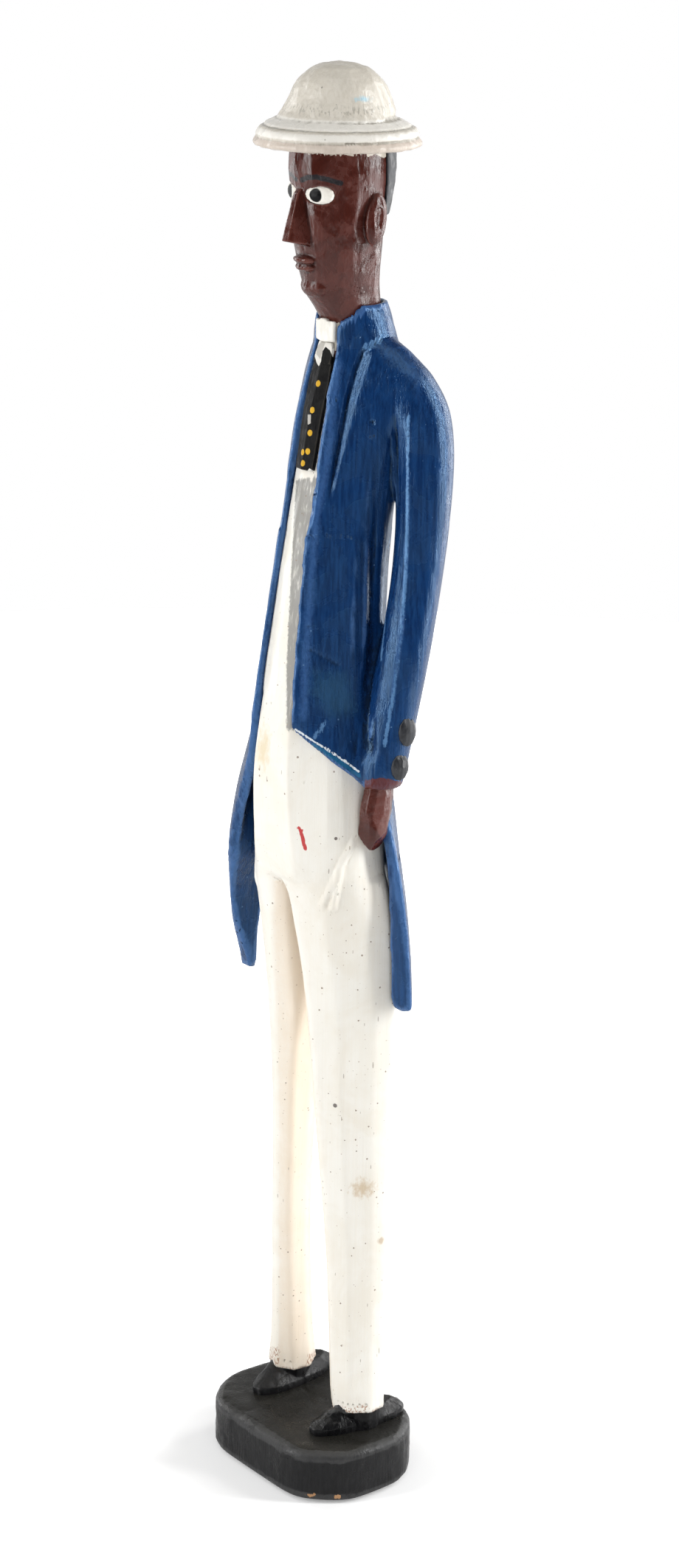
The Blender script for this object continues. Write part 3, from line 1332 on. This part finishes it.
class FIGURE_OT_shoes(bpy.types.Operator):
    """Carve the two pointed shoes and paint them black"""

    bl_idname = "figure.shoes"
    bl_label = "Shoes"

    def execute(self, context):
        material = black_paint("Black shoe paint")
        for side in ("left", "right"):
            node = f"{side}_shoe"
            piece = rough_out(f"black_{node}", (node,), 0.25 * MM)
            close_skin(piece, 0.45 * MM, 3)
            tree = tree_of(piece)
            low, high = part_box(node)
            ridge = []
            for share in (0.06, 0.2, 0.34, 0.48):
                above = Vector(((low.x + high.x) / 2, low.y + share * (high.y - low.y), OUTSIDE))
                ridge.append(tree.ray_cast(above, Vector((0, 0, -1)))[0])
            cut_line(piece, ridge, 13 * MM, -3.4 * MM, taper=(0.5, 0.02))
            knife_marks(piece, 0.7 * MM, 4 * MM, 5 * MM, 0.15)
            mark_edges(piece, 8)
            mark(piece, "dusty", share_of(facings(piece.data)[:, 2] - 0.4))
            settle(piece, material, (node,))
        return {"FINISHED"}


# Stage

def softbox(name, azimuth, height, distance, size, power, aim=0.3):
    light = bpy.data.lights.new(name, "AREA")
    light.shape = "RECTANGLE"
    light.size, light.size_y = size
    light.energy = power
    lamp = bpy.data.objects.new(name, light)
    bpy.context.scene.collection.objects.link(lamp)
    lamp.location = (math.sin(azimuth) * distance, -math.cos(azimuth) * distance, height)
    lamp.rotation_euler = (Vector((0, 0, aim)) - lamp.location).to_track_quat("-Z", "Y").to_euler()
    return lamp


class FIGURE_OT_stage(bpy.types.Operator):
    """Set up the pale floor, the soft lights and the camera"""

    bl_idname = "figure.stage"
    bl_label = "Stage"

    def execute(self, context):
        s = setting()
        scene = context.scene
        scene.view_settings.view_transform = "Standard"
        bpy.ops.object.select_all(action="DESELECT")
        bpy.ops.mesh.primitive_circle_add(vertices=96, radius=1.5, fill_type="NGON", location=(0, 0, 0))
        floor = context.object
        floor.name = "floor"
        material = bpy.data.materials.new("Pale floor")
        material.use_nodes = True
        shader = material.node_tree.nodes["Principled BSDF"]
        shader.inputs["Base Color"].default_value = (0.8, 0.8, 0.8, 1)
        shader.inputs["Roughness"].default_value = 0.7
        shader.inputs["Specular IOR Level"].default_value = 0.1
        shader.inputs["Emission Color"].default_value = (1, 1, 1, 1)
        tree = material.node_tree
        seen = add(tree, "ShaderNodeLightPath").outputs["Is Camera Ray"]
        away = length_along(tree, add(tree, "ShaderNodeTexCoord").outputs["Object"])
        glow = ramp(tree, away, 0.055, 0.12, 0.25 * s.glow, s.glow)
        tree.links.new(maths(tree, "MULTIPLY", seen, glow), shader.inputs["Emission Strength"])
        floor.data.materials.append(material)
        world = scene.world or bpy.data.worlds.new("World")
        scene.world = world
        world.use_nodes = True
        tree = world.node_tree
        seen = add(tree, "ShaderNodeLightPath").outputs["Is Camera Ray"]
        strength = ramp(tree, seen, 0.0, 1.0, s.room, 1.0)
        tree.nodes["Background"].inputs["Color"].default_value = (1, 1, 1, 1)
        tree.links.new(strength, tree.nodes["Background"].inputs["Strength"])
        softbox("key", s.azimuth - math.radians(72), 0.8, 1.5, (0.34, 1.7), s.key)
        softbox("fill", s.azimuth + math.radians(84), 0.7, 1.4, (0.2, 1.7), s.fill)
        softbox("top", s.azimuth, 2.2, 0.7, (1.4, 1.4), s.top)
        front = softbox("front", s.azimuth, 0.12, 1.6, (1.5, 1.2), s.front)
        front.visible_glossy = False
        for turn, share in ((128, 1.2), (-126, 0.8)):
            rim = softbox("rim", s.azimuth + math.radians(turn), 0.5, 1.5, (0.4, 1.6), s.rim * share)
            rim.visible_camera = False
        back = softbox("back", s.azimuth + math.pi, 0.6, 1.6, (2.6, 1.8), s.back)
        back.visible_camera = False
        place, forward, right, up = camera_axes()
        lens = bpy.data.cameras.new("camera")
        lens.sensor_fit = "VERTICAL"
        lens.sensor_height = FILM
        lens.lens = s.focal * FILM
        lens.shift_x = s.shift
        lens.clip_end = 100
        camera = bpy.data.objects.new("camera", lens)
        scene.collection.objects.link(camera)
        turn = Matrix((right, up, -forward)).transposed().to_4x4()
        camera.matrix_world = Matrix.Translation(place) @ turn
        scene.camera = camera
        return {"FINISHED"}


# Panel

MAKERS = (
    "figure.coat", "figure.whites", "figure.head", "figure.hair", "figure.eyes", "figure.helmet",
    "figure.collar_and_tie", "figure.hands", "figure.buttons", "figure.plinth", "figure.shoes",
    "figure.stage",
)


class FIGURE_PT_panel(bpy.types.Panel):
    """Lists every piece that can be made, with the sizes and colours it takes"""

    bl_label = "Painted colon figure"
    bl_idname = "FIGURE_PT_panel"
    bl_space_type = "VIEW_3D"
    bl_region_type = "UI"
    bl_category = "Figure"

    def draw(self, context):
        for maker in MAKERS:
            self.layout.operator(maker)
        for group in (context.scene.figure_carving, context.scene.figure_paints, context.scene.figure_stage):
            box = self.layout.box()
            for name in group.bl_rna.properties.keys():
                if name not in ("rna_type", "name"):
                    box.prop(group, name)


CLASSES = (
    FigureCarving, FigurePaints, FigureStage, FIGURE_OT_coat, FIGURE_OT_whites, FIGURE_OT_head,
    FIGURE_OT_hair, FIGURE_OT_eyes, FIGURE_OT_helmet, FIGURE_OT_collar_and_tie, FIGURE_OT_hands,
    FIGURE_OT_buttons, FIGURE_OT_plinth, FIGURE_OT_shoes, FIGURE_OT_stage, FIGURE_PT_panel,
)


def register():
    for cls in CLASSES:
        bpy.utils.register_class(cls)
    bpy.types.Scene.figure_carving = bpy.props.PointerProperty(type=FigureCarving)
    bpy.types.Scene.figure_paints = bpy.props.PointerProperty(type=FigurePaints)
    bpy.types.Scene.figure_stage = bpy.props.PointerProperty(type=FigureStage)


def unregister():
    del bpy.types.Scene.figure_carving
    del bpy.types.Scene.figure_paints
    del bpy.types.Scene.figure_stage
    for cls in reversed(CLASSES):
        bpy.utils.unregister_class(cls)


def main():
    register()
    for maker in MAKERS:
        family, name = maker.split(".")
        getattr(getattr(bpy.ops, family), name)()


if __name__ == "__main__":
    main()
